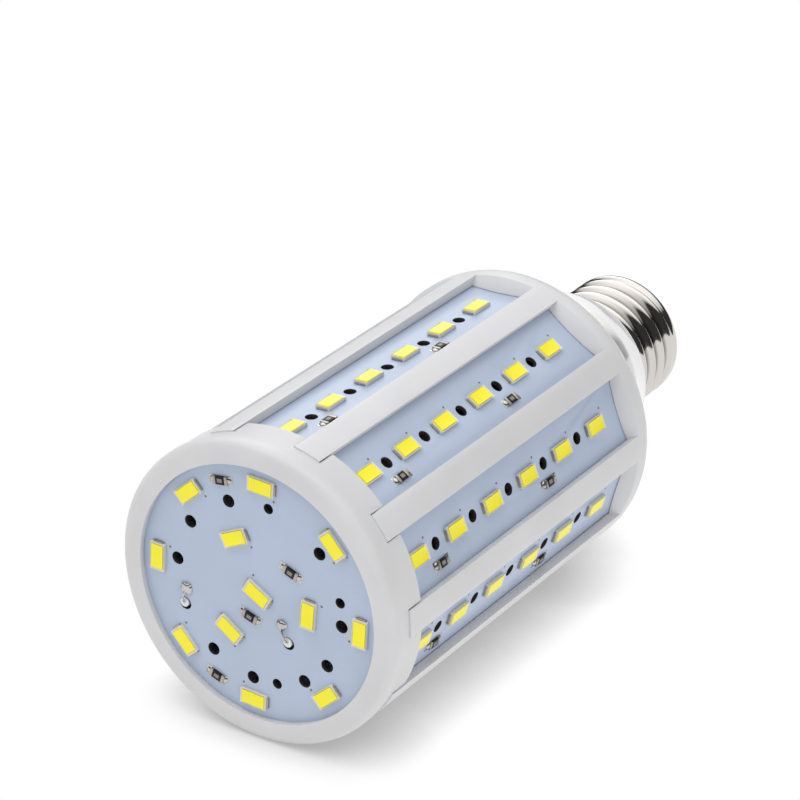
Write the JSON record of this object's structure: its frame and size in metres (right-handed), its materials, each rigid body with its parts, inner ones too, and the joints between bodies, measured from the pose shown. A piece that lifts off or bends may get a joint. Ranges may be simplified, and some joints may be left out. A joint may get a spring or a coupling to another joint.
{
  "type": "led light bulb",
  "caption": "LED corn light bulb: a slotted white cage of LED boards with an LED end board, a driver inside and a screw base.",
  "frame": {"origin": "centre of the front rim's rest face, with the lamp standing on its LED end", "axes": "+Z along the lamp's axis from the front rim to the screw base's contact; the first side board faces -Y"},
  "size_m": [0.0592, 0.0592, 0.137],
  "materials": {
    "housing_white": "satin moulded plastic",
    "collar_gloss_white": "glossy moulded plastic",
    "shell_nickel": "bright nickel plate on rolled sheet",
    "insulator_dark": "dark glazed insulator",
    "contact_metal": "satin",
    "board_face": "pale blue-grey solder mask, satin",
    "led_case": "white moulded LED case",
    "led_phosphor": "yellow phosphor in clear silicone",
    "resistor_body": "black chip between tinned ends",
    "solder": "bright solder",
    "wire_red": "smooth insulation",
    "wire_black": "smooth insulation",
    "driver_laminate": "bare laminate",
    "capacitor_sleeve": "shrink sleeve",
    "transformer_tape": "taped winding",
    "rectifier_case": "moulded case"
  },
  "bodies": {
    "root": {"front_cap": "housing_white", "cage": "housing_white", "base_collar": "collar_gloss_white", "screw_shell": "shell_nickel", "shell_insulator": "insulator_dark", "centre_contact": "contact_metal", "end_board": "board_face", "end_leds": "led_case", "end_phosphor": "led_phosphor", "end_resistors": "resistor_body", "solder_joints": "solder", "lead_wire_positive": "wire_red", "lead_wire_negative": "wire_black", "mains_wire_live": "wire_red", "mains_wire_neutral": "wire_black", "driver_board": "driver_laminate", "smoothing_capacitor": "capacitor_sleeve", "transformer": "transformer_tape", "bridge_rectifier": "rectifier_case", "side_board_01": "board_face", "side_leds_01": "led_case", "side_phosphor_01": "led_phosphor", "side_resistors_01": "resistor_body", "side_board_02": "board_face", "side_leds_02": "led_case", "side_phosphor_02": "led_phosphor", "side_resistors_02": "resistor_body", "side_board_03": "board_face", "side_leds_03": "led_case", "side_phosphor_03": "led_phosphor", "side_resistors_03": "resistor_body", "side_board_04": "board_face", "side_leds_04": "led_case", "side_phosphor_04": "led_phosphor", "side_resistors_04": "resistor_body", "side_board_05": "board_face", "side_leds_05": "led_case", "side_phosphor_05": "led_phosphor", "side_resistors_05": "resistor_body", "side_board_06": "board_face", "side_leds_06": "led_case", "side_phosphor_06": "led_phosphor", "side_resistors_06": "resistor_body", "side_board_07": "board_face", "side_leds_07": "led_case", "side_phosphor_07": "led_phosphor", "side_resistors_07": "resistor_body", "side_board_08": "board_face", "side_leds_08": "led_case", "side_phosphor_08": "led_phosphor", "side_resistors_08": "resistor_body", "side_board_09": "board_face", "side_leds_09": "led_case", "side_phosphor_09": "led_phosphor", "side_resistors_09": "resistor_body", "side_board_10": "board_face", "side_leds_10": "led_case", "side_phosphor_10": "led_phosphor", "side_resistors_10": "resistor_body"}
  },
  "joints": []
}
